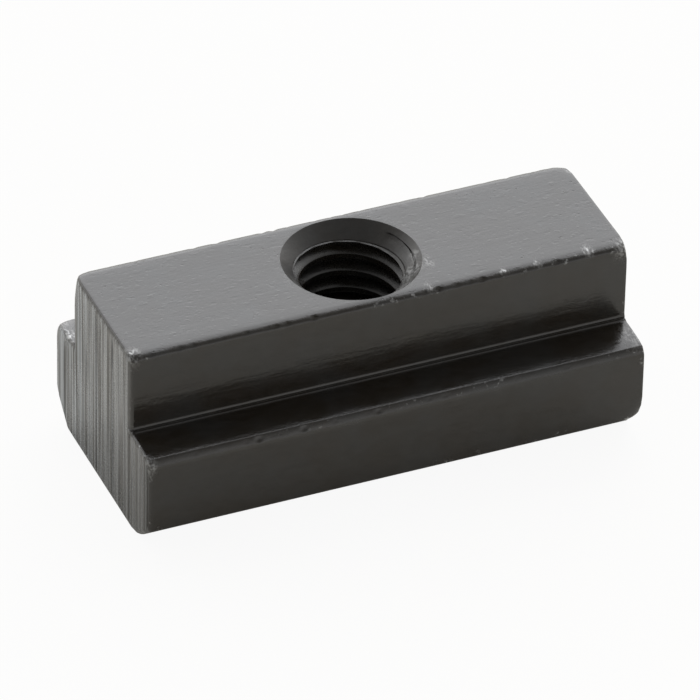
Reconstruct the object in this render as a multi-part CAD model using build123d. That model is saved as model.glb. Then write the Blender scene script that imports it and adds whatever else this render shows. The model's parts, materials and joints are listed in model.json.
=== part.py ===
from build123d import *
from math import radians, tan
import os

# T-slot nut, long form, for an 8 mm T-slot and an M6 screw.
# Millimetres, +Z up. X runs along the slot and Y across it.
# The origin is at the centre of the underside.

# Drawn bar: a stem that slides in the slot's throat, on a flange that bears under its lips.
length = 26.0
height = 10.0
stem_width = 7.7
flange_width = 12.6
flange_height = 5.65

# Long edges of the bar, as the drawing die leaves them.
stem_edge_radius = 0.35
flange_edge_radius = 0.5
root_radius = 0.32
foot_chamfer = 1.65
foot_edge_radius = 0.5

# Sawn ends, their edges tumbled.
end_edge_radius = 0.22

# M6 through thread, left at its tap drill's size, with a countersink at each mouth.
thread_diameter = 6.0
thread_pitch = 1.0
countersink_angle = 90.0
top_countersink_diameter = 6.9
underside_countersink_diameter = 6.4

tap_bore = thread_diameter - thread_pitch


def bar_section():
    """T section across the slot, with every long edge rounded."""
    half_stem = stem_width / 2
    half_flange = flange_width / 2
    with BuildSketch(Plane.YZ) as section:
        with BuildLine():
            Polyline(
                (0, 0),
                (half_flange - foot_chamfer, 0),
                (half_flange, foot_chamfer),
                (half_flange, flange_height),
                (half_stem, flange_height),
                (half_stem, height),
                (0, height),
            )
            mirror(about=Plane.YZ)
        make_face()
        foot, foot_top, shoulder, stem_top = section.vertices().group_by(Axis.Y)
        roots, flange_top = shoulder.group_by(lambda corner: round(abs(corner.X), 3))
        fillet(foot + foot_top, foot_edge_radius)
        fillet(flange_top, flange_edge_radius)
        fillet(roots, root_radius)
        fillet(stem_top, stem_edge_radius)
    return section.sketch


def sawn_bar():
    """A length of the bar, with the edges of both sawn ends rounded."""
    bar = extrude(bar_section(), length / 2, both=True)
    by_length = bar.faces().sort_by(Axis.X)
    end_edges = by_length[0].edges() + by_length[-1].edges()
    return fillet(end_edges, end_edge_radius)


def countersink(diameter):
    """Cone that opens downwards from the tap bore to the given mouth, its mouth at Z 0."""
    depth = (diameter - tap_bore) / 2 / tan(radians(countersink_angle / 2))
    base = (Align.CENTER, Align.CENTER, Align.MIN)
    return Cone(diameter / 2, tap_bore / 2, depth, align=base)


def thread_hole():
    """Tap bore through the full height, with both countersinks."""
    base = (Align.CENTER, Align.CENTER, Align.MIN)
    bore = Cylinder(tap_bore / 2, height, align=base)
    top = Pos(0, 0, height) * Rot(180, 0, 0) * countersink(top_countersink_diameter)
    underside = countersink(underside_countersink_diameter)
    return bore + top + underside


t_slot_nut = sawn_bar() - thread_hole()

os.makedirs("parts", exist_ok=True)
export_step(t_slot_nut, "parts/t_slot_nut.step")
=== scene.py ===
import bpy
import bmesh
import json
import math
import random
import numpy as np
from mathutils import Matrix, Vector


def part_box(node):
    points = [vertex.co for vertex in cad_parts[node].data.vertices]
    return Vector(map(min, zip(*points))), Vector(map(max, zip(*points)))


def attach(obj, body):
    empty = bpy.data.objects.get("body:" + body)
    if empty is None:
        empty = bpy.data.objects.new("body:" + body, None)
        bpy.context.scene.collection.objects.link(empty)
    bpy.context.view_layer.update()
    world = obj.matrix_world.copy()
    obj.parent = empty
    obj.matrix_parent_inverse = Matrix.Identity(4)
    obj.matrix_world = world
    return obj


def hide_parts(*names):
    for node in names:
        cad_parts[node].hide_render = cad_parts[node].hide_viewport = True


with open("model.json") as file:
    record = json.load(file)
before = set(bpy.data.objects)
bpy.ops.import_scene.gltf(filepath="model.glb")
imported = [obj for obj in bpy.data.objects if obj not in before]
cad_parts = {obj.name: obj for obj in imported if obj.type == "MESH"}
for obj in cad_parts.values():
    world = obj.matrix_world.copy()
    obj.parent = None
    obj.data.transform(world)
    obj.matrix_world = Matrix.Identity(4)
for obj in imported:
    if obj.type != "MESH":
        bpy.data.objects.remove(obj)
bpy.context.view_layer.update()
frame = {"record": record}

# The nut is worked out in millimetres and scaled to metres when its mesh is finished.
MM = 0.001
NODE = "t_slot_nut"

# Sizes that the frame states.
MOUNTS = {mount["name"]: mount for mount in frame["record"]["mounts"]}
high = Vector(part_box(NODE)[1]) / MM
HALF_LENGTH = high.x
HEIGHT = high.z
HALF_FLANGE = high.y
HALF_STEM = MOUNTS["stem_side_plus_y"]["pos_m"][1] / MM
FLANGE_HEIGHT = MOUNTS["clamp_ledge_plus_y"]["pos_m"][2] / MM
BORE_RADIUS = MOUNTS["thread"]["dims"]["r_mm"]

# Worn edges turn in two steps: (radius at the upper face, tilt where it ends, radius below).
STEM_EDGE = (1.0, math.radians(20), 0.25)
FLANGE_EDGE = (0.12, math.radians(40), 0.6)

# The other edges of the drawn bar. A fine groove runs along each hollow corner: it takes up a
# share of the fillet's turn, and lies a little nearer the stem than the middle of it.
ROOT_RADIUS = 0.32
ROOT_GROOVE_DEPTH = 0.06
ROOT_GROOVE_SHARE = 0.25
ROOT_GROOVE_PLACE = 0.035
FOOT_CHAMFER = 1.65
NEAR_FOOT_HEIGHT = 1.35
FOOT_EDGE_RADIUS = 0.3

# The edges of each sawn end: (how far back along the bar they start, how far in they reach).
END_EDGES = {-1: (0.12, 0.3), 1: (0.08, 0.13)}

# The drawn faces aren't quite flat: they fall away a little towards their edges. A fall is whole
# down to the first of its depths below the face, and has faded out at the second.
LEDGE_FALL = 0.18
LEDGE_EDGE_FALL = 0.03
LEDGE_EDGE_WIDTH = 0.5
LEDGE_FALL_DEPTHS = (0.3, 1.6)
TOP_FALL = 0.02
TOP_FALL_WIDTH = 0.9
TOP_FALL_DEPTHS = (0.3, 1.5)
END_FALL = 0.09
END_FALL_WIDTH = 0.7
END_FALL_DEPTHS = (0.3, 0.9)

# Feed marks of the saw, a regular pitch apart, and the finer scratches between them. A pair is
# the least and the most of a random draw, and steepness is a depth's share of the width.
FEED_PITCH = 2.2
FEED_OFFSET = 0.62
FEED_JITTER = 0.05
FEED_HALF_WIDTHS = (0.065, 0.09)
FEED_DEPTHS = (0.06, 0.09)
SCRATCHES = 90
SCRATCH_HALF_WIDTHS = (0.06, 0.15)
SCRATCH_STEEPNESS = (0.06, 0.3)
SCRATCH_LEAN = 0.008
GROOVE_FADING = 0.25
GROOVE_WAVES = (0.3, 1.2)
GROOVE_TOP_MARGIN = (0.3, 0.75)

# A knocked corner is flattened softly, and its flat fades out between two distances from it.
CORNER_SOFTNESS = 0.9
CORNER_PUSH = 0.8
CORNER_REACH = (1.2, 2.0)

# Nicks of the long edges and of the ends' edges, with the least and the most of each draw.
EDGE_NICK_RADII = (0.08, 0.24)
EDGE_NICK_INSETS = (0.05, 0.2)
EDGE_NICK_STEEPNESS = (0.06, 0.26)
END_NICKS = 3
END_NICK_RADII = (0.08, 0.22)
END_NICK_INSET = 0.1
END_NICK_STEEPNESS = (0.06, 0.2)

# M6 thread and the 90 degree countersinks at its mouths, with a bead round the top one's lip.
THREAD_MAJOR_RADIUS = 3.0
THREAD_PITCH = 1.0
THREAD_PHASE = math.radians(106)
THREAD_FLANK_ANGLE = math.radians(30)
TOP_MOUTH_RADIUS = 3.45
UNDERSIDE_MOUTH_RADIUS = 3.2
CREST_ROUNDING = 0.04
LIP_ROUNDING = 0.04
LIP_BEAD = 0.05
LIP_BEAD_WIDTH = 0.06
LIP_BEAD_PEAK = math.radians(70)
LIP_BEAD_LEAST = 0.25
LIP_TROUGH_PLACE = 1.8

# A ring that the countersink has scored round part of the top cone. It widens as it goes round,
# grows over the angle SCORE_RISE and ends over the angle SCORE_STOP.
SCORE_RADIUS = 3.05
SCORE_OPENING = 0.15
SCORE_NARROWEST = 3.02
SCORE_RUN = 0.3
SCORE_WALL = 0.06
SCORE_DEPTH = 0.08
# Shade is painted along the bottom of the ring: the half width of the painted shade, and how many
# half widths from its middle it has faded out.
SCORE_SHADE_HALF_WIDTH = 0.055
SCORE_SHADE_REACH = 1.3
SCORE_FROM = math.radians(-34)
SCORE_TO = math.radians(35)
SCORE_RISE = 0.5
SCORE_STOP = 0.1

# How finely the surfaces are divided. From CONE_MARGIN below the top cone upwards, the rows of
# the hole are lower, by the factor CONE_ROWS. The hole's cutter starts TURNS_BELOW turns of the
# thread under the nut, and its rows climb SPARE_TURNS turns more than the nut's height.
LENGTH_STEP = 0.12
FLAT_STEP = 0.6
ARC_STEPS = 9
ROOT_STEPS = 20
TURN_IN_STEPS = 5
MINIMUM_RADIUS = 0.02
END_STEPS = 5
SAW_STEP = 0.06
SAW_ROW = 0.5
ROW_HEIGHT = 0.04
CONE_ROWS = 0.4
CONE_MARGIN = 0.05
TURN_STEPS = 144
TURNS_BELOW = 2.5
SPARE_TURNS = 6

# Faces that meet at more than this angle are shaded with a sharp edge between them.
SHARP_ANGLE = math.radians(35)

# How far above the ledge a point has to lie to count as part of the stem.
LEDGE_MARGIN = 0.1

# Distances that count as none: from the plane of a face, and between two points of a cut.
SAME_FACE = 1e-4
SAME_PLACE = 1e-5

random.seed(8)


# ---------------------------------------------------------------- the bar

def section_corners():
    """Corners of the T section, anticlockwise from the +Y foot: (y, z, kind of edge)."""
    corners = [
        (HALF_FLANGE - FOOT_CHAMFER, 0.0, "foot"),
        (HALF_FLANGE, FOOT_CHAMFER, "foot"),
        (HALF_FLANGE, FLANGE_HEIGHT, "flange"),
        (HALF_STEM, FLANGE_HEIGHT, "root"),
        (HALF_STEM, HEIGHT, "stem"),
    ]
    corners += [(-y, z, kind) for y, z, kind in reversed(corners)]
    corners[-2] = (-HALF_FLANGE, NEAR_FOOT_HEIGHT, "foot")
    return corners


def outward(a, b):
    """Outward normal of the section's side from a to b."""
    along = (b - a).normalized()
    return Vector((along.y, -along.x))


def foot_edge(n1, n2, at, inset):
    """A round convex edge at one corner, from normal n1 to n2."""
    middle = (n1 + n2) / (1 + n1.dot(n2))
    radius = max(FOOT_EDGE_RADIUS - inset, MINIMUM_RADIUS)
    centre = at - (inset + radius) * middle
    return [centre + radius * n1.slerp(n2, s / ARC_STEPS) for s in range(ARC_STEPS + 1)]


def root_edge(n1, n2, at, inset):
    """The fillet of a hollow corner, with the fine groove that runs half-way round it."""
    middle = (n1 + n2) / (1 + n1.dot(n2))
    centre = at + ROOT_RADIUS * middle
    towards_stem = ROOT_GROOVE_PLACE * (1 if n2.y == 0 else -1)
    curve = []
    for step in range(ROOT_STEPS + 1):
        share = step / ROOT_STEPS
        off_middle = abs(share - 0.5 - towards_stem) / (ROOT_GROOVE_SHARE / 2)
        groove = ROOT_GROOVE_DEPTH * max(0, 1 - off_middle)
        curve.append(centre - (ROOT_RADIUS + inset + groove) * n1.slerp(n2, share))
    return curve


def upper_edge(edge, at, inset):
    """A worn edge between an upper face and an upright one, of two radii, anticlockwise."""
    side = math.copysign(1, at.x)
    corner = at - inset * Vector((side, 1))
    upper, turn, lower = edge
    upper = max(upper - inset, MINIMUM_RADIUS)
    lower = max(lower - inset, MINIMUM_RADIUS)
    reach = upper * math.sin(turn) + lower * (1 - math.sin(turn))
    drop = upper * (1 - math.cos(turn)) + lower * math.cos(turn)
    curve = []
    for step in range(TURN_IN_STEPS + 1):
        tilt = turn * step / TURN_IN_STEPS
        curve.append((reach - upper * math.sin(tilt), upper * (1 - math.cos(tilt))))
    for step in range(1, ARC_STEPS + 1):
        tilt = turn + (math.pi / 2 - turn) * step / ARC_STEPS
        curve.append((lower * (1 - math.sin(tilt)), drop - lower * math.cos(tilt)))
    points = [corner - Vector((side * inward, down)) for inward, down in curve]
    return points if side < 0 else points[::-1]


def section_outline(inset):
    """The rounded T section as a closed loop of points, moved in by inset all round."""
    corners = section_corners()
    places = [Vector((y, z)) for y, z, kind in corners]
    curves = []
    for i, (y, z, kind) in enumerate(corners):
        n1 = outward(places[i - 1], places[i])
        n2 = outward(places[i], places[(i + 1) % len(places)])
        if kind == "root":
            curves.append(root_edge(n1, n2, places[i], inset))
        elif kind == "foot":
            curves.append(foot_edge(n1, n2, places[i], inset))
        else:
            edge = STEM_EDGE if kind == "stem" else FLANGE_EDGE
            curves.append(upper_edge(edge, places[i], inset))
    loop = []
    for i, curve in enumerate(curves):
        following = (i + 1) % len(curves)
        run = (places[following] - places[i]).length
        steps = max(2, round(run / FLAT_STEP))
        loop += curve
        loop += [curve[-1].lerp(curves[following][0], s / steps) for s in range(1, steps)]
    return loop


def end_rings(side):
    """(x, inset) of the sections that round the edges of one sawn end, the end itself first."""
    back, inward = END_EDGES[side]
    curve = []
    for step in range(END_STEPS + 1):
        angle = math.pi / 2 * (1 - step / END_STEPS)
        x = HALF_LENGTH - back * (1 - math.sin(angle))
        curve.append((side * x, inward * (1 - math.cos(angle))))
    return curve


def rings():
    """(x, inset) of each section along the bar, from the +X end to the -X end."""
    start = end_rings(1)
    finish = end_rings(-1)[::-1]
    run = start[-1][0] - finish[0][0]
    steps = round(run / LENGTH_STEP)
    middle = [(start[-1][0] - run * s / steps, 0.0) for s in range(1, steps)]
    return start + middle + finish


def bar_mesh():
    """The bar as one closed mesh, its ends divided finely enough for the saw's grooves."""
    bm = bmesh.new()
    loops = []
    for x, inset in rings():
        loops.append([bm.verts.new((x, y, z)) for y, z in section_outline(inset)])
    for loop, following in zip(loops, loops[1:]):
        for i in range(len(loop)):
            bm.faces.new((loop[i - 1], loop[i], following[i], following[i - 1]))
    ends = [bm.faces.new(loops[0]), bm.faces.new(loops[-1])]
    for end in ends:
        divide_end(bm, end)
    many_sided = [face for face in bm.faces if len(face.verts) > 4]
    bmesh.ops.triangulate(bm, faces=many_sided)
    return bm


def divide_end(bm, end):
    """Cuts a sawn end into narrow upright strips, each a row of quads."""
    geometry = [end] + end.edges[:] + end.verts[:]
    across = round(2 * HALF_FLANGE / SAW_STEP)
    up = round(HEIGHT / SAW_ROW)
    sideways = Vector((0, 1, 0))
    upward = Vector((0, 0, 1))
    cuts = [(sideways * HALF_FLANGE * (2 * s / across - 1), sideways) for s in range(1, across)]
    cuts += [(upward * HEIGHT * s / up, upward) for s in range(1, up)]
    for place, normal in cuts:
        result = bmesh.ops.bisect_plane(
            bm, geom=geometry, dist=SAME_PLACE, plane_co=place, plane_no=normal)
        geometry = result["geom"]


# ---------------------------------------------------------------- wear

def get_points(mesh):
    """The mesh's vertices as an array of places."""
    points = np.empty(len(mesh.vertices) * 3)
    mesh.vertices.foreach_get("co", points)
    return points.reshape(-1, 3)


def set_points(mesh, points):
    """Moves the mesh's vertices to the places in an array."""
    mesh.vertices.foreach_set("co", points.ravel())
    mesh.update()


def fade(value, start, end):
    """Smooth step of an array from 0 at start to 1 at end."""
    t = np.clip((value - start) / (end - start), 0, 1)
    return t * t * (3 - 2 * t)


def fall_away(points):
    """Lets the top and the ledges of the bar drop a little towards their edges."""
    y = np.abs(points[:, 1])
    z = points[:, 2]
    along_ledge = np.clip((y - HALF_STEM) / (HALF_FLANGE - HALF_STEM), 0, 1)
    whole, gone = LEDGE_FALL_DEPTHS
    near_ledge = fade(z, FLANGE_HEIGHT - gone, FLANGE_HEIGHT - whole)
    near_ledge = near_ledge * (z <= FLANGE_HEIGHT + SAME_FACE)
    points[:, 2] -= LEDGE_FALL * along_ledge ** 2 * near_ledge
    ledge_edge = np.clip((y - HALF_FLANGE) / LEDGE_EDGE_WIDTH + 1, 0, 1)
    points[:, 2] -= LEDGE_EDGE_FALL * ledge_edge ** 2 * near_ledge
    near_edge = np.clip((y - HALF_STEM) / TOP_FALL_WIDTH + 1, 0, 1)
    whole, gone = TOP_FALL_DEPTHS
    points[:, 2] -= TOP_FALL * near_edge ** 3 * fade(z, HEIGHT - gone, HEIGHT - whole)


def end_margins(points):
    """How far points of an end lie in from its upright edges and down from its upper edges."""
    y = np.abs(points[:, 1])
    z = points[:, 2]
    half_width = np.where(z > FLANGE_HEIGHT + LEDGE_MARGIN, HALF_STEM, HALF_FLANGE)
    upper_edge = np.where(y < HALF_STEM, HEIGHT, FLANGE_HEIGHT)
    return half_width - y, upper_edge - z


def end_fall_away(points):
    """Lets the -X end fall back a little towards its upright edges."""
    inward = end_margins(points)[0]
    near_edge = np.clip(1 - inward / END_FALL_WIDTH, 0, 1)
    whole, gone = END_FALL_DEPTHS
    near_end = 1 - fade(points[:, 0], whole - HALF_LENGTH, gone - HALF_LENGTH)
    points[:, 0] += END_FALL * near_edge ** 2 * near_end


def saw_grooves():
    """Grooves of one sawn end: (y, half width, depth, lean)."""
    grooves = []
    marks = int(HALF_FLANGE / FEED_PITCH) + 1
    for i in range(-marks, marks + 1):
        y = FEED_OFFSET + i * FEED_PITCH + random.uniform(-FEED_JITTER, FEED_JITTER)
        width = random.uniform(*FEED_HALF_WIDTHS)
        grooves.append((y, width, random.uniform(*FEED_DEPTHS), 0.0))
    for i in range(SCRATCHES):
        y = random.uniform(-HALF_FLANGE, HALF_FLANGE)
        width = random.uniform(*SCRATCH_HALF_WIDTHS)
        deep = width * random.uniform(*SCRATCH_STEEPNESS)
        grooves.append((y, width, deep, random.uniform(-SCRATCH_LEAN, SCRATCH_LEAN)))
    return grooves


def saw_end(points, side):
    """Cuts the saw's grooves into the flat end at x = side * HALF_LENGTH."""
    flat = np.where(points[:, 0] * side > HALF_LENGTH - SAME_FACE)[0]
    y = points[flat, 1]
    z = points[flat, 2]
    depth = np.zeros(len(flat))
    for place, width, deep, lean in saw_grooves():
        away = np.abs(y - place - lean * (z - HEIGHT / 2)) / width
        wave = np.sin(z * random.uniform(*GROOVE_WAVES) + random.uniform(0, 6))
        fading = 1 - GROOVE_FADING + GROOVE_FADING * wave
        depth = np.maximum(depth, deep * fading * np.clip(1 - away, 0, 1))
    depth *= fade(end_margins(points[flat])[1], *GROOVE_TOP_MARGIN)
    points[flat, 0] -= side * depth


def worn_corners():
    """Corners that have been knocked: (place, outward direction, depth)."""
    left, right = -HALF_LENGTH, HALF_LENGTH
    return [
        ((left, -HALF_STEM, HEIGHT), (-1, -1, 1), 0.5),
        ((left, HALF_STEM, HEIGHT), (-1, 1, 0.4), 0.72),
        ((right, -HALF_STEM, HEIGHT), (1, -1, 1), 0.6),
        ((right, HALF_STEM, HEIGHT), (1, 1, 0.4), 0.8),
        ((left, -HALF_FLANGE, FLANGE_HEIGHT), (-1, -1, 0.8), 0.45),
        ((left, HALF_FLANGE, FLANGE_HEIGHT), (-1, 1, 1), 0.75),
        ((right, -HALF_FLANGE, FLANGE_HEIGHT), (1, -1, 0.8), 0.42),
        ((right, HALF_FLANGE, FLANGE_HEIGHT), (1, 1, 0.8), 0.42),
        ((right, -HALF_FLANGE, NEAR_FOOT_HEIGHT), (1, -1, -1), 0.65),
        ((left, FOOT_CHAMFER - HALF_FLANGE, 0), (-1, -0.6, -1), 0.35),
    ]


def wear_corners(points):
    """Rounds off the worn corners."""
    for place, direction, size in worn_corners():
        corner = np.array(place)
        diagonal = np.array(direction) / np.linalg.norm(direction)
        depth = (points - corner) @ diagonal + size
        soft = CORNER_SOFTNESS * size
        push = np.where(depth > soft, depth - soft / 2, np.clip(depth, 0, soft) ** 2 / (2 * soft))
        near = 1 - fade(np.linalg.norm(points - corner, axis=1), *CORNER_REACH)
        points -= np.outer(push * near * CORNER_PUSH, diagonal)


def long_edges():
    """The convex edges along the bar: (y, z, outward direction in the section, nicks per mm)."""
    edges = []
    for side in (-1, 1):
        edges.append((side * HALF_STEM, HEIGHT, (side, 1), 1.3))
        edges.append((side * HALF_FLANGE, FLANGE_HEIGHT - LEDGE_FALL, (side, 1), 1.1))
        foot = FOOT_CHAMFER if side > 0 else NEAR_FOOT_HEIGHT
        edges.append((side * HALF_FLANGE, foot, (side, -0.4), 0.7))
        edges.append((side * (HALF_FLANGE - FOOT_CHAMFER), 0.0, (side * 0.4, -1), 0.5))
    return edges


def end_edges():
    """The upright and upper edges of both ends: (start, finish, outward direction)."""
    uprights = (
        (HALF_STEM, FLANGE_HEIGHT, HEIGHT),
        (HALF_FLANGE, FOOT_CHAMFER, FLANGE_HEIGHT),
    )
    edges = []
    for end in (-1, 1):
        x = end * HALF_LENGTH
        edges.append(((x, -HALF_STEM, HEIGHT), (x, HALF_STEM, HEIGHT), (end, 0, 1)))
        for side in (-1, 1):
            for y, z, top_z in uprights:
                edges.append(((x, side * y, z), (x, side * y, top_z), (end, side, 0)))
    return edges


def nick(points, centre, direction, radius, depth):
    """Presses one small round dent into the points near centre."""
    away = np.linalg.norm(points - centre, axis=1) / radius
    near = np.where(away < 1)[0]
    push = depth * (1 - away[near] ** 2) ** 2
    points[near] -= np.outer(push, direction)


def nick_edges(points):
    """Small seeded nicks along every long edge and across the ends' edges."""
    for y, z, (across, up), density in long_edges():
        direction = np.array((0, across, up)) / math.hypot(across, up)
        for i in range(round(2 * HALF_LENGTH * density)):
            x = random.uniform(-HALF_LENGTH, HALF_LENGTH)
            radius = random.uniform(*EDGE_NICK_RADII)
            centre = np.array((x, y, z)) - direction * random.uniform(*EDGE_NICK_INSETS)
            depth = radius * random.uniform(*EDGE_NICK_STEEPNESS)
            nick(points, centre, direction, radius, depth)
    for start, finish, outwards in end_edges():
        direction = np.array(outwards) / math.sqrt(2)
        for i in range(END_NICKS):
            centre = Vector(start).lerp(Vector(finish), random.random())
            centre = centre - END_NICK_INSET * Vector(direction)
            radius = random.uniform(*END_NICK_RADII)
            depth = radius * random.uniform(*END_NICK_STEEPNESS)
            nick(points, np.array(centre), direction, radius, depth)


def weather(mesh):
    """Gives the plain bar the marks of drawing, sawing and handling."""
    points = get_points(mesh)
    fall_away(points)
    for side in (-1, 1):
        saw_end(points, side)
    end_fall_away(points)
    wear_corners(points)
    nick_edges(points)
    set_points(mesh, points)


# ---------------------------------------------------------------- the hole

def finish_bmesh(bm, name):
    """Turns a closed bmesh into an object with outward normals."""
    bmesh.ops.recalc_face_normals(bm, faces=bm.faces[:])
    mesh = bpy.data.meshes.new(name)
    bm.to_mesh(mesh)
    bm.free()
    piece = bpy.data.objects.new(name, mesh)
    bpy.context.collection.objects.link(piece)
    return piece


def rounded_max(a, b, blend):
    """The larger of two values, with the kink between them rounded over blend."""
    overlap = np.maximum(blend - np.abs(a - b), 0) / blend
    return np.maximum(a, b) + overlap ** 2 * blend / 4


def thread_radius(angle, z):
    """Radius of the tapped hole: 60 degree grooves round a bore, their crests rounded."""
    turn = (z / THREAD_PITCH - (angle - THREAD_PHASE) / (2 * math.pi)) % 1
    from_groove = (0.5 - np.abs(turn - 0.5)) * THREAD_PITCH
    depth = THREAD_MAJOR_RADIUS - BORE_RADIUS
    slope = math.tan(THREAD_FLANK_ANGLE)
    mouth_half = THREAD_PITCH / 16 + depth * slope
    flank = BORE_RADIUS + (mouth_half - from_groove) / slope
    return np.minimum(rounded_max(flank, BORE_RADIUS, CREST_ROUNDING), THREAD_MAJOR_RADIUS)


def score_place(angle):
    """Radius of the scored ring at an angle, and how strong it is there, 0 to 1."""
    turned = (angle + math.pi) % (2 * math.pi) - math.pi
    inside = np.minimum((turned - SCORE_FROM) / SCORE_RISE, (SCORE_TO - turned) / SCORE_STOP)
    ring = np.maximum(SCORE_RADIUS + SCORE_OPENING * turned, SCORE_NARROWEST)
    return ring, np.clip(inside, 0, 1)


def score_depth(angle, radius):
    """How deep the scored ring is at a place on the top cone."""
    ring, strength = score_place(angle)
    across = fade(radius, ring - SCORE_RUN, ring) - fade(radius, ring, ring + SCORE_WALL)
    return SCORE_DEPTH * strength * across


def score_painted_shade(points):
    """How strongly shade is painted along the bottom of the scored ring at each point, 0 to 1."""
    ring, strength = score_place(np.arctan2(points[:, 1], points[:, 0]))
    cone_radius = TOP_MOUTH_RADIUS + points[:, 2] - HEIGHT
    away = np.abs(cone_radius - ring - SCORE_WALL / 2) / SCORE_SHADE_HALF_WIDTH
    return strength * fade(SCORE_SHADE_REACH - away, 0, 1)


def hole_radius(angle, z):
    """Radius of the finished hole: thread and countersinks, with a rounded lip between them."""
    top_cone = TOP_MOUTH_RADIUS + z - HEIGHT
    top_cone = top_cone + score_depth(angle, top_cone)
    underside_cone = UNDERSIDE_MOUTH_RADIUS - z
    thread = thread_radius(angle, z)
    off_lip = (top_cone - thread) / LIP_BEAD_WIDTH
    trough = fade(1 - np.abs(off_lip - LIP_TROUGH_PLACE), 0, 1)
    bead = fade(1 - np.abs(off_lip), 0, 1) - trough
    bead = bead * LIP_BEAD * np.clip(LIP_BEAD_LEAST + np.cos(angle - LIP_BEAD_PEAK), 0, 1)
    radius = rounded_max(thread, top_cone, LIP_ROUNDING) - bead
    return rounded_max(radius, underside_cone, LIP_ROUNDING)


def row_place(climbed):
    """Height of a row that has climbed the helix this far: rows lie closer on the top cone."""
    cone_foot = HEIGHT - (TOP_MOUTH_RADIUS - BORE_RADIUS) - CONE_MARGIN
    in_cone = np.clip(climbed - cone_foot, 0, (HEIGHT - cone_foot) / CONE_ROWS)
    return climbed - in_cone * (1 - CONE_ROWS)


def hole_cutter():
    """The hole as a solid that is longer than the nut is high, in rows that follow the helix."""
    bm = bmesh.new()
    rows = round((HEIGHT + SPARE_TURNS * THREAD_PITCH) / ROW_HEIGHT)
    z_start = -TURNS_BELOW * THREAD_PITCH
    z_end = z_start + HEIGHT + (SPARE_TURNS + 1) * THREAD_PITCH
    columns = []
    for i in range(TURN_STEPS):
        angle = 2 * math.pi * i / TURN_STEPS
        climb = THREAD_PITCH * i / TURN_STEPS
        z = row_place(z_start + climb + np.arange(rows + 1) * ROW_HEIGHT)
        radii = np.maximum(hole_radius(angle, z), BORE_RADIUS)
        columns.append([
            bm.verts.new((r * math.cos(angle), r * math.sin(angle), h)) for r, h in zip(radii, z)
        ])
    rows_per_turn = round(THREAD_PITCH / ROW_HEIGHT)
    for i in range(TURN_STEPS):
        a, b = columns[i - 1], columns[i]
        shift = rows_per_turn if i == 0 else 0
        for j in range(rows - shift):
            bm.faces.new((a[j], b[j + shift], b[j + 1 + shift], a[j + 1]))
    foot = [column[0] for column in columns] + columns[0][rows_per_turn:0:-1]
    head = [column[-1] for column in columns] + columns[-1][-2:-rows_per_turn - 1:-1]
    for boundary, z in ((foot, z_start - THREAD_PITCH), (head, z_end)):
        hub = bm.verts.new((0, 0, z))
        for i in range(len(boundary)):
            bm.faces.new((boundary[i - 1], boundary[i], hub))
    return finish_bmesh(bm, "hole")


def cut(piece, cutter):
    """Subtracts the cutter from the piece and deletes it."""
    boolean = piece.modifiers.new(cutter.name, "BOOLEAN")
    boolean.operation = "DIFFERENCE"
    boolean.solver = "EXACT"
    boolean.object = cutter
    graph = bpy.context.evaluated_depsgraph_get()
    result = bpy.data.meshes.new_from_object(piece.evaluated_get(graph))
    piece.modifiers.clear()
    plain = piece.data
    piece.data = result
    bpy.data.meshes.remove(plain)
    bpy.data.objects.remove(cutter)


# ---------------------------------------------------------------- marks for the material

# Each mark fades between two distances from its edge or corner, and the sawn one also between
# two sizes of the normal's part along the bar. TOP_REACH is the depths below the top where its
# mark starts and where it is whole.
EDGE_WEAR = (0.12, 0.55)
CORNER_WEAR = (0.5, 1.6)
SAWN_NORMAL = (0.55, 0.8)
SAWN_FROM_SIDE = (0.05, 0.45)
SAWN_FROM_TOP = (0.03, 0.18)
SAWN_REACH = 0.3
TOP_REACH = (0.08, 0.03)

# The sawn end's bare share at the middle, and what each side adds to it: painted light towards the
# far side, painted shade towards the near side.
SAWN_SHARE = 0.80
SAWN_PAINTED_LIGHT_CHANGE = 0.40

# The share of a rubbed patch's size that is wholly rubbed.
RUBBED_CORE = 0.2

# How strongly the thread counts as bored, where the top cone counts in full. Points that lie
# this far outside the cone or the thread still belong to the hole.
BORED_THREAD = 0.4
CONE_CLEARANCE = 0.05
THREAD_CLEARANCE = 0.01


def segment_distance(points, a, b):
    """Distance of each point from the segment a-b."""
    along = b - a
    t = np.clip((points - a) @ along / (along @ along), 0, 1)
    return np.linalg.norm(points - a - np.outer(t, along), axis=1)


def edge_distance(points):
    """Distance of each point from the nearest convex edge of the bar."""
    nearest = np.full(len(points), np.inf)
    for y, z, direction, density in long_edges():
        a = np.array((-HALF_LENGTH, y, z))
        b = np.array((HALF_LENGTH, y, z))
        nearest = np.minimum(nearest, segment_distance(points, a, b))
    corners = [(y, z) for y, z, kind in section_corners()]
    for side in (-1, 1):
        for (y1, z1), (y2, z2) in zip(corners, corners[1:] + corners[:1]):
            a = np.array((side * HALF_LENGTH, y1, z1))
            b = np.array((side * HALF_LENGTH, y2, z2))
            nearest = np.minimum(nearest, segment_distance(points, a, b))
    return nearest


def add_attribute(mesh, name, values):
    """Stores one value for each vertex, for the material to read."""
    attribute = mesh.attributes.new(name, "FLOAT", "POINT")
    attribute.data.foreach_set("value", values.astype(np.float32))


def corner_distance(points):
    """Distance of each point from the nearest worn corner."""
    corners = [corner for corner, direction, size in worn_corners()]
    return np.min([np.linalg.norm(points - corner, axis=1) for corner in corners], axis=0)


def on_cone(degrees, radius):
    """A place on the top countersink."""
    angle = math.radians(degrees)
    return (radius * math.cos(angle), radius * math.sin(angle), HEIGHT - TOP_MOUTH_RADIUS + radius)


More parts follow.
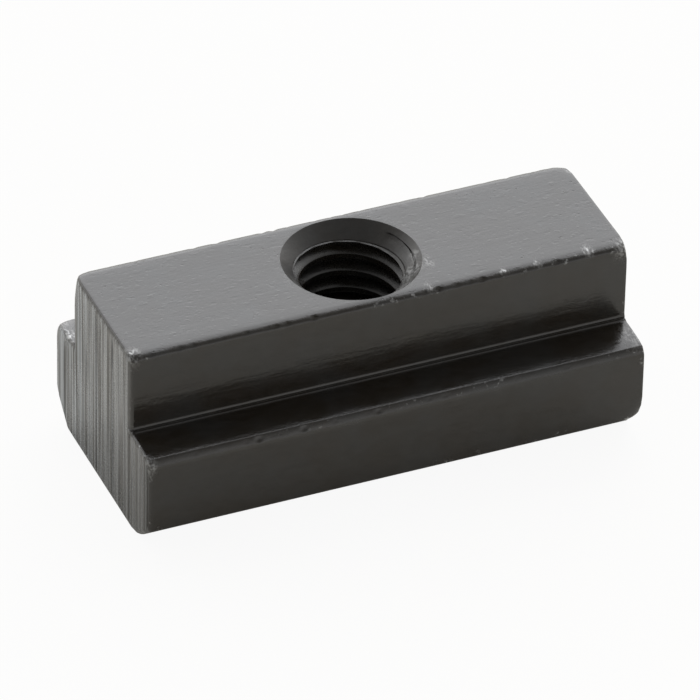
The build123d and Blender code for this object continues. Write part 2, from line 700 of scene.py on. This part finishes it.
def rubbed_places():
    """Patches that handling and tools have rubbed bright: (place, size, how strongly)."""
    left, right = -HALF_LENGTH, HALF_LENGTH
    return [
        (on_cone(-8, 3.15), 0.6, 0.5),
        (on_cone(-32, 2.9), 1.0, 1.4),
        (on_cone(-56, 2.95), 0.9, 1.1),
        ((3.4, -1.55, HEIGHT), 0.45, 0.8),
        ((2.6, 0.3 - HALF_STEM, HEIGHT), 0.35, 0.9),
        ((6.5, 0.22 - HALF_STEM, HEIGHT), 0.35, 0.9),
        ((8.3, 0.25 - HALF_STEM, HEIGHT), 0.35, 0.9),
        ((11.0, 0.3 - HALF_STEM, HEIGHT), 0.45, 0.9),
        (on_cone(190, 3.0), 1.3, 0.25),
        ((left + 0.2, 0.4 - HALF_STEM, HEIGHT), 0.7, 0.85),
        ((left, HALF_STEM + 0.8, FLANGE_HEIGHT), 0.9, 1.0),
        ((left, HALF_FLANGE, FLANGE_HEIGHT), 1.2, 0.8),
        ((left, -HALF_FLANGE, FLANGE_HEIGHT - 0.4), 0.65, 0.75),
        ((right, -HALF_STEM, HEIGHT), 1.0, 0.9),
        ((right, -0.6 * HALF_FLANGE - 0.4 * HALF_STEM, FLANGE_HEIGHT), 1.3, 0.5),
        ((right, -HALF_FLANGE, NEAR_FOOT_HEIGHT), 0.9, 0.25),
    ]


def rubbed_amount(points):
    """How strongly each point has been rubbed."""
    most = np.zeros(len(points))
    for place, size, amount in rubbed_places():
        away = np.linalg.norm(points - np.array(place), axis=1)
        most = np.maximum(most, amount * (1 - fade(away, RUBBED_CORE * size, size)))
    return most


def sawn_amount(points, lengthwise):
    """How far each point belongs to a sawn end, from its normal's part along the bar."""
    on_end = fade(np.abs(lengthwise), *SAWN_NORMAL)
    on_end = on_end * (np.abs(points[:, 0]) > HALF_LENGTH - SAWN_REACH)
    inward, down = end_margins(points)
    sawn = on_end * fade(inward, *SAWN_FROM_SIDE) * fade(down, *SAWN_FROM_TOP)
    # Painted light towards the far side of each end, painted shade towards the near side.
    return sawn * (SAWN_SHARE + SAWN_PAINTED_LIGHT_CHANGE * points[:, 1] / HALF_FLANGE)


def mark_surface(mesh):
    """Stores where the surface is a worn edge or corner, rubbed, sawn (with light and shade painted
    across the ends), bored or the top, and where shade is painted into the scored ring.
    """
    points = get_points(mesh)
    normals = np.empty(len(points) * 3)
    mesh.vertices.foreach_get("normal", normals)
    z = points[:, 2]
    cone = TOP_MOUTH_RADIUS - HEIGHT + z + CONE_CLEARANCE
    hole = np.maximum(cone, THREAD_MAJOR_RADIUS + THREAD_CLEARANCE)
    in_hole = np.hypot(points[:, 0], points[:, 1]) < hole
    in_cone = z > HEIGHT - TOP_MOUTH_RADIUS + BORE_RADIUS
    start, whole = TOP_REACH
    add_attribute(mesh, "edge", 1 - fade(edge_distance(points), *EDGE_WEAR))
    add_attribute(mesh, "corner", 1 - fade(corner_distance(points), *CORNER_WEAR))
    add_attribute(mesh, "rubbed", rubbed_amount(points))
    add_attribute(mesh, "sawn", sawn_amount(points, normals[::3]))
    # Painted shade along the bottom of the scored ring.
    add_attribute(mesh, "scored", score_painted_shade(points) * in_hole)
    add_attribute(mesh, "bored", np.where(in_cone, 1.0, BORED_THREAD) * in_hole)
    add_attribute(mesh, "top", fade(z, HEIGHT - start, HEIGHT - whole) * (1 - in_hole))


def make_nut():
    """The finished nut: bar, hole and thread, in metres."""
    nut = finish_bmesh(bar_mesh(), "threaded_t_slot_nut")
    weather(nut.data)
    cut(nut, hole_cutter())
    mark_surface(nut.data)
    nut.data.transform(Matrix.Scale(MM, 4))
    nut.data.shade_smooth()
    nut.data.set_sharp_from_angle(angle=SHARP_ANGLE)
    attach(nut, "root")
    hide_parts(NODE)
    return nut


# ---------------------------------------------------------------- material

class Graph:
    """Short calls that add shader nodes to one material or world."""

    def __init__(self, owner):
        owner.use_nodes = True
        self.nodes = owner.node_tree.nodes
        self.links = owner.node_tree.links

    def feed(self, socket, value):
        """Links an output to a socket, or sets the socket to a plain value."""
        if isinstance(value, bpy.types.NodeSocket):
            self.links.new(value, socket)
        else:
            socket.default_value = value

    def math(self, operation, a, b=0.0):
        """One sum, product or the like of two values."""
        node = self.nodes.new("ShaderNodeMath")
        node.operation = operation
        self.feed(node.inputs[0], a)
        self.feed(node.inputs[1], b)
        return node.outputs[0]

    def ramp(self, value, start, end, low=0.0, high=1.0):
        """A smooth step of a value, from low at start to high at end."""
        node = self.nodes.new("ShaderNodeMapRange")
        node.interpolation_type = "SMOOTHSTEP"
        self.feed(node.inputs["Value"], value)
        node.inputs["From Min"].default_value = start
        node.inputs["From Max"].default_value = end
        node.inputs["To Min"].default_value = low
        node.inputs["To Max"].default_value = high
        return node.outputs["Result"]

    def mix(self, factor, a, b):
        """A colour between a and b."""
        node = self.nodes.new("ShaderNodeMix")
        node.data_type = "RGBA"
        self.feed(node.inputs["Factor"], factor)
        self.feed(node.inputs["A"], a)
        self.feed(node.inputs["B"], b)
        return node.outputs["Result"]

    def attribute(self, name):
        """A value that the mesh stores."""
        node = self.nodes.new("ShaderNodeAttribute")
        node.attribute_name = name
        return node.outputs["Fac"]

    def noise(self, place, size, stretch=(1, 1, 1), detail=2.0):
        """Noise with features about size metres across, drawn out along an axis by stretch."""
        mapping = self.nodes.new("ShaderNodeMapping")
        self.feed(mapping.inputs["Vector"], place)
        mapping.inputs["Scale"].default_value = [1 / (size * s) for s in stretch]
        node = self.nodes.new("ShaderNodeTexNoise")
        self.feed(node.inputs["Vector"], mapping.outputs[0])
        node.inputs["Scale"].default_value = 1.0
        node.inputs["Detail"].default_value = detail
        return node.outputs["Fac"]

    def dot(self, direction, towards):
        """Cosine of the angle between a direction and a fixed one."""
        node = self.nodes.new("ShaderNodeVectorMath")
        node.operation = "DOT_PRODUCT"
        self.feed(node.inputs[0], direction)
        node.inputs[1].default_value = Vector(towards).normalized()
        return node.outputs["Value"]

    def bump(self, height, distance, strength=1.0, normal=None):
        """The normal of a relief that is distance metres high, laid over another normal."""
        node = self.nodes.new("ShaderNodeBump")
        self.feed(node.inputs["Height"], height)
        self.feed(node.inputs["Strength"], strength)
        node.inputs["Distance"].default_value = distance
        if normal:
            self.feed(node.inputs["Normal"], normal)
        return node.outputs["Normal"]


OXIDE_DARK = (0.013, 0.0095, 0.0055, 1)
OXIDE_LIGHT = (0.0135, 0.0122, 0.0102, 1)
BARE_STEEL = (0.41, 0.41, 0.405, 1)
SAWN_STEEL = (0.40, 0.425, 0.455, 1)
# Near black painted shade for the bottom of the scored ring.
SCORE_PAINTED_SHADE = (0.006, 0.006, 0.006, 1)
OXIDE_IOR = 1.6
ROUGHNESS = 0.2
ROUGHER_BORE = 0.16

# Heights of the finish's relief, in millimetres.
GRAIN_HEIGHT = 0.005
DRAWN_HEIGHT = 0.004
WAVE_HEIGHT = 0.018
SHALLOW_MARK_HEIGHT = 0.004
DENT_DEPTH = 0.0125
SAW_LINE_HEIGHT = 0.03

# What the mesh stores about each place of the surface.
MARKS = ("edge", "corner", "rubbed", "sawn", "bored", "scored", "top")

# Noises of the finish: (size in millimetres, how far drawn out along x, y and z, detail).
NOISES = {
    "cloud": (2.2, (1, 1, 1), 4.0),
    "patches": (3.0, (1, 1, 1), 1.0),
    "mottle": (0.35, (2, 1, 1), 3.0),
    "grain": (0.14, (1, 1, 1), 3.0),
    "drawn": (0.16, (14, 1, 1), 2.0),
    "dashes": (0.28, (1.7, 1, 1), 4.0),
    "saw_lines": (0.12, (1, 1, 110), 3.0),
    "streaks": (0.22, (1, 1, 55), 4.0),
    "pits": (0.22, (1, 1, 1), 2.0),
    "waves": (0.6, (6, 1, 1), 2.0),
    "marks": (0.42, (1.5, 1, 1), 2.0),
    "chips": (0.28, (1, 1, 1), 3.0),
    "scuffs": (0.13, (1, 2, 1), 4.0),
}


def bare_share(g, noise, mark):
    """How much steel shows through the oxide: chipped edges, rubbed patches, sawn ends (with light
    and shade painted across them), polish.
    """
    likely = g.math("MAXIMUM", mark["corner"], g.ramp(noise["patches"], 0.52, 0.66, 0.0, 0.7))
    chipped = g.ramp(noise["chips"], 0.58, 0.72, 0.0, 0.9)
    chipped = g.math("MULTIPLY", chipped, g.ramp(mark["edge"], 0.5, 1.0))
    chipped = g.math("MULTIPLY", chipped, likely)

    scuffed = g.math("MULTIPLY", mark["rubbed"], g.ramp(noise["scuffs"], 0.4, 0.64, 0.11, 0.9))
    scuffed = g.math("MINIMUM", scuffed, 0.8)

    streaks = g.math("MULTIPLY", noise["streaks"], 0.6)
    lines = g.math("ADD", streaks, g.math("MULTIPLY", noise["saw_lines"], 1.4))
    # The sawn mark also carries the light and shade painted across the ends.
    thin = g.math("MULTIPLY", mark["sawn"], g.ramp(lines, 0.82, 1.18, 0.0, 0.9))

    mottled = g.ramp(mark["top"], 0.0, 1.0, 0.018, 0.026)
    mottled = g.math("MULTIPLY", g.ramp(noise["mottle"], 0.3, 0.7), mottled)
    clouded = g.ramp(mark["top"], 0.0, 1.0, 0.006, 0.018)
    clouded = g.math("MULTIPLY", g.ramp(noise["cloud"], 0.35, 0.65), clouded)
    polish = g.math("ADD", mottled, clouded)
    return g.math("MAXIMUM", g.math("MAXIMUM", chipped, scuffed), g.math("MAXIMUM", thin, polish))


def roughness(g, noise, mark):
    """A little uneven all over, and rougher in the bore and on the sawn ends."""
    cloud = g.ramp(noise["cloud"], 0.3, 0.7, -0.02, 0.03)
    uneven = g.math("ADD", cloud, g.ramp(noise["grain"], 0.3, 0.7, -0.02, 0.02))
    tooled = g.math("MAXIMUM", mark["bored"], g.math("MULTIPLY", mark["sawn"], 0.5))
    rougher = g.math("MULTIPLY", tooled, ROUGHER_BORE)
    return g.math("ADD", g.math("ADD", uneven, rougher), ROUGHNESS)


def relief(g, noise, mark):
    """The normal of the fine relief: grain, drawing, waves, shallow marks, dents and saw lines."""
    top = mark["top"]
    smooth_end = g.math("SUBTRACT", 1.0, g.math("MULTIPLY", mark["sawn"], 0.7))
    normal = g.bump(noise["grain"], GRAIN_HEIGHT * MM, strength=smooth_end)
    normal = g.bump(noise["drawn"], DRAWN_HEIGHT * MM, normal=normal)

    waviness = g.math("SUBTRACT", 1.0, mark["sawn"])
    waviness = g.math("MULTIPLY", g.ramp(top, 0.0, 1.0, 1.0, 0.15), waviness)
    normal = g.bump(noise["waves"], WAVE_HEIGHT * MM, strength=waviness, normal=normal)

    hollows = g.ramp(noise["marks"], 0.28, 0.38, 1.0, 0.0)
    shallow = g.math("SUBTRACT", g.ramp(noise["marks"], 0.62, 0.72), hollows)
    normal = g.bump(shallow, SHALLOW_MARK_HEIGHT * MM, strength=top, normal=normal)

    dents = g.ramp(noise["dashes"], 0.61, 0.77, 0.0, 0.8)
    dents = g.math("SUBTRACT", g.ramp(noise["pits"], 0.66, 0.78), dents)
    dents = g.math("ADD", dents, g.ramp(noise["dashes"], 0.24, 0.4, 0.6, 0.0))
    dents = g.math("MULTIPLY", dents, g.ramp(noise["patches"], 0.4, 0.6, 0.5, 1.0))
    dented = g.ramp(top, 0.0, 1.0, 0.15, 1.0)
    normal = g.bump(dents, -DENT_DEPTH * MM, strength=dented, normal=normal)
    return g.bump(noise["saw_lines"], SAW_LINE_HEIGHT * MM, strength=mark["sawn"], normal=normal)


def black_oxide():
    """Blackened steel: thin oxide over a fine grain, rubbed through to the metal at the edges."""
    material = bpy.data.materials.new("black_oxide")
    g = Graph(material)
    shader = g.nodes["Principled BSDF"]
    place = g.nodes.new("ShaderNodeTexCoord").outputs["Object"]
    mark = {name: g.attribute(name) for name in MARKS}
    noise = {}
    for name, (size, stretch, detail) in NOISES.items():
        noise[name] = g.noise(place, size * MM, stretch, detail)

    bare = bare_share(g, noise, mark)
    oxide = g.mix(g.ramp(noise["cloud"], 0.35, 0.7), OXIDE_DARK, OXIDE_LIGHT)
    steel = g.mix(mark["sawn"], BARE_STEEL, SAWN_STEEL)
    # The scored mask paints shade into the ring: a near black colour as metal, so that it reflects
    # almost nothing.
    colour = g.mix(mark["scored"], g.mix(bare, oxide, steel), SCORE_PAINTED_SHADE)
    g.feed(shader.inputs["Base Color"], colour)
    g.feed(shader.inputs["Metallic"], g.math("MAXIMUM", bare, mark["scored"]))
    g.feed(shader.inputs["Roughness"], roughness(g, noise, mark))
    g.feed(shader.inputs["Normal"], relief(g, noise, mark))
    shader.inputs["IOR"].default_value = OXIDE_IOR
    return material


# ---------------------------------------------------------------- studio

FLOOR_HALF_SIZE = 3.0
FLOOR_COLOUR = (0.84, 0.815, 0.75, 1)
FLOOR_ROUGHNESS = 0.9

# The share of plain white that the floor shows to the camera and to mirrored views of it.
WHITE_TO_CAMERA = 0.93
WHITE_TO_GLOSSY = 0.04

# The soft box: distance and width in metres, and its even brightness.
SOFTBOX_DIRECTION = Vector((0.45, 0.80, 0.82)).normalized()
SOFTBOX_DISTANCE = 1.3
SOFTBOX_SIZE = 1.3
SOFTBOX_RADIANCE = 1.45
SOFTBOX_COLOUR = (0.92, 0.945, 1.0)

# The camera: where it stands, in metres from the point that it looks at, and its lens in
# millimetres. The aim is millimetres right of and above the origin, as the camera sees it.
CAMERA_AZIMUTH = math.radians(23.33)
CAMERA_ELEVATION = math.radians(35.94)
CAMERA_ROLL = math.radians(1.235)
CAMERA_DISTANCE = 0.3862
CAMERA_AIM = (0.119, 3.673)
CAMERA_LENS = 403.714
SENSOR_WIDTH = 36
CLIP_START = 0.01

# Soft patches of the room's light: (towards, cosine where a patch starts, brightness it adds).
ROOM_PATCHES = [
    ((-0.85, -0.5, 0.0), 0.6, -0.6),
    ((-0.6, 0.75, 0.25), 0.8, 0.5),
    (SOFTBOX_DIRECTION, 0.3, 0.7),
    ((-0.68, -0.1, 0.72), 0.9, 0.09),
]
LEAST_LIGHT = 0.03


def make_floor():
    """A pale floor that the camera sees as white, with the nut's shadow left on it."""
    mesh = bpy.data.meshes.new("floor")
    s = FLOOR_HALF_SIZE
    mesh.from_pydata([(-s, -s, 0), (s, -s, 0), (s, s, 0), (-s, s, 0)], [], [(0, 1, 2, 3)])
    floor = bpy.data.objects.new("floor", mesh)
    bpy.context.collection.objects.link(floor)
    material = bpy.data.materials.new("pale_floor")
    g = Graph(material)
    paper = g.nodes["Principled BSDF"]
    paper.inputs["Base Color"].default_value = FLOOR_COLOUR
    paper.inputs["Roughness"].default_value = FLOOR_ROUGHNESS
    paper.inputs["Specular IOR Level"].default_value = 0.0
    white = g.nodes.new("ShaderNodeEmission")
    path = g.nodes.new("ShaderNodeLightPath")
    seen = g.math("MAXIMUM", path.outputs["Is Camera Ray"], path.outputs["Is Transmission Ray"])
    mirrored = g.math("MULTIPLY", path.outputs["Is Glossy Ray"], WHITE_TO_GLOSSY)
    share = g.math("ADD", g.math("MULTIPLY", seen, WHITE_TO_CAMERA), mirrored)
    mix = g.nodes.new("ShaderNodeMixShader")
    g.feed(mix.inputs[0], share)
    g.feed(mix.inputs[1], paper.outputs[0])
    g.feed(mix.inputs[2], white.outputs[0])
    g.feed(g.nodes["Material Output"].inputs["Surface"], mix.outputs[0])
    mesh.materials.append(material)


def make_softbox():
    """A square soft box that faces the nut."""
    data = bpy.data.lights.new("softbox", "AREA")
    data.shape = "SQUARE"
    data.size = SOFTBOX_SIZE
    data.color = SOFTBOX_COLOUR
    data.energy = SOFTBOX_RADIANCE * math.pi * SOFTBOX_SIZE * SOFTBOX_SIZE
    lamp = bpy.data.objects.new("softbox", data)
    bpy.context.collection.objects.link(lamp)
    lamp.location = SOFTBOX_DIRECTION * SOFTBOX_DISTANCE
    lamp.rotation_euler = SOFTBOX_DIRECTION.to_track_quat("Z", "Y").to_euler()


def make_camera():
    """Looks down at the nut from its -X, -Y corner, rolled a little."""
    back = Vector((
        -math.sin(CAMERA_AZIMUTH) * math.cos(CAMERA_ELEVATION),
        -math.cos(CAMERA_AZIMUTH) * math.cos(CAMERA_ELEVATION),
        math.sin(CAMERA_ELEVATION),
    ))
    level = back.cross(Vector((0, 0, 1))).normalized() * -1
    upright = back.cross(level)
    right = level * math.cos(CAMERA_ROLL) + upright * math.sin(CAMERA_ROLL)
    up = upright * math.cos(CAMERA_ROLL) - level * math.sin(CAMERA_ROLL)
    aim = right * CAMERA_AIM[0] * MM + up * CAMERA_AIM[1] * MM
    data = bpy.data.cameras.new("camera")
    data.lens = CAMERA_LENS
    data.sensor_width = SENSOR_WIDTH
    data.clip_start = CLIP_START
    camera = bpy.data.objects.new("camera", data)
    bpy.context.collection.objects.link(camera)
    place = aim + back * CAMERA_DISTANCE
    rotation = Matrix((right, up, back)).transposed().to_4x4()
    camera.matrix_world = Matrix.Translation(place) @ rotation
    bpy.context.scene.camera = camera


def make_world():
    """A light room: pale low down and round the softbox, dim overhead and behind the camera."""
    world = bpy.data.worlds.new("studio")
    g = Graph(world)
    direction = g.nodes.new("ShaderNodeTexCoord").outputs["Generated"]
    split = g.nodes.new("ShaderNodeSeparateXYZ")
    g.feed(split.inputs[0], direction)
    low_walls = g.ramp(split.outputs["Z"], 0.0, 0.8, 1.0, 0.3)
    back_wall = g.ramp(split.outputs["Y"], 0.0, 0.9, 0.0, 0.4)
    overhead = g.ramp(split.outputs["Z"], 0.88, 0.99, 0.0, -0.5)
    light = g.math("ADD", g.math("ADD", low_walls, back_wall), overhead)
    for towards, start, added in ROOM_PATCHES:
        light = g.math("ADD", light, g.ramp(g.dot(direction, towards), start, 1.0, 0.0, added))
    background = g.nodes["Background"]
    background.inputs["Color"].default_value = (1, 1, 1, 1)
    g.feed(background.inputs["Strength"], g.math("MAXIMUM", light, LEAST_LIGHT))
    bpy.context.scene.world = world


nut = make_nut()
nut.data.materials.clear()
nut.data.materials.append(black_oxide())
make_floor()
make_world()
make_softbox()
make_camera()
bpy.context.scene.view_settings.view_transform = "Standard"
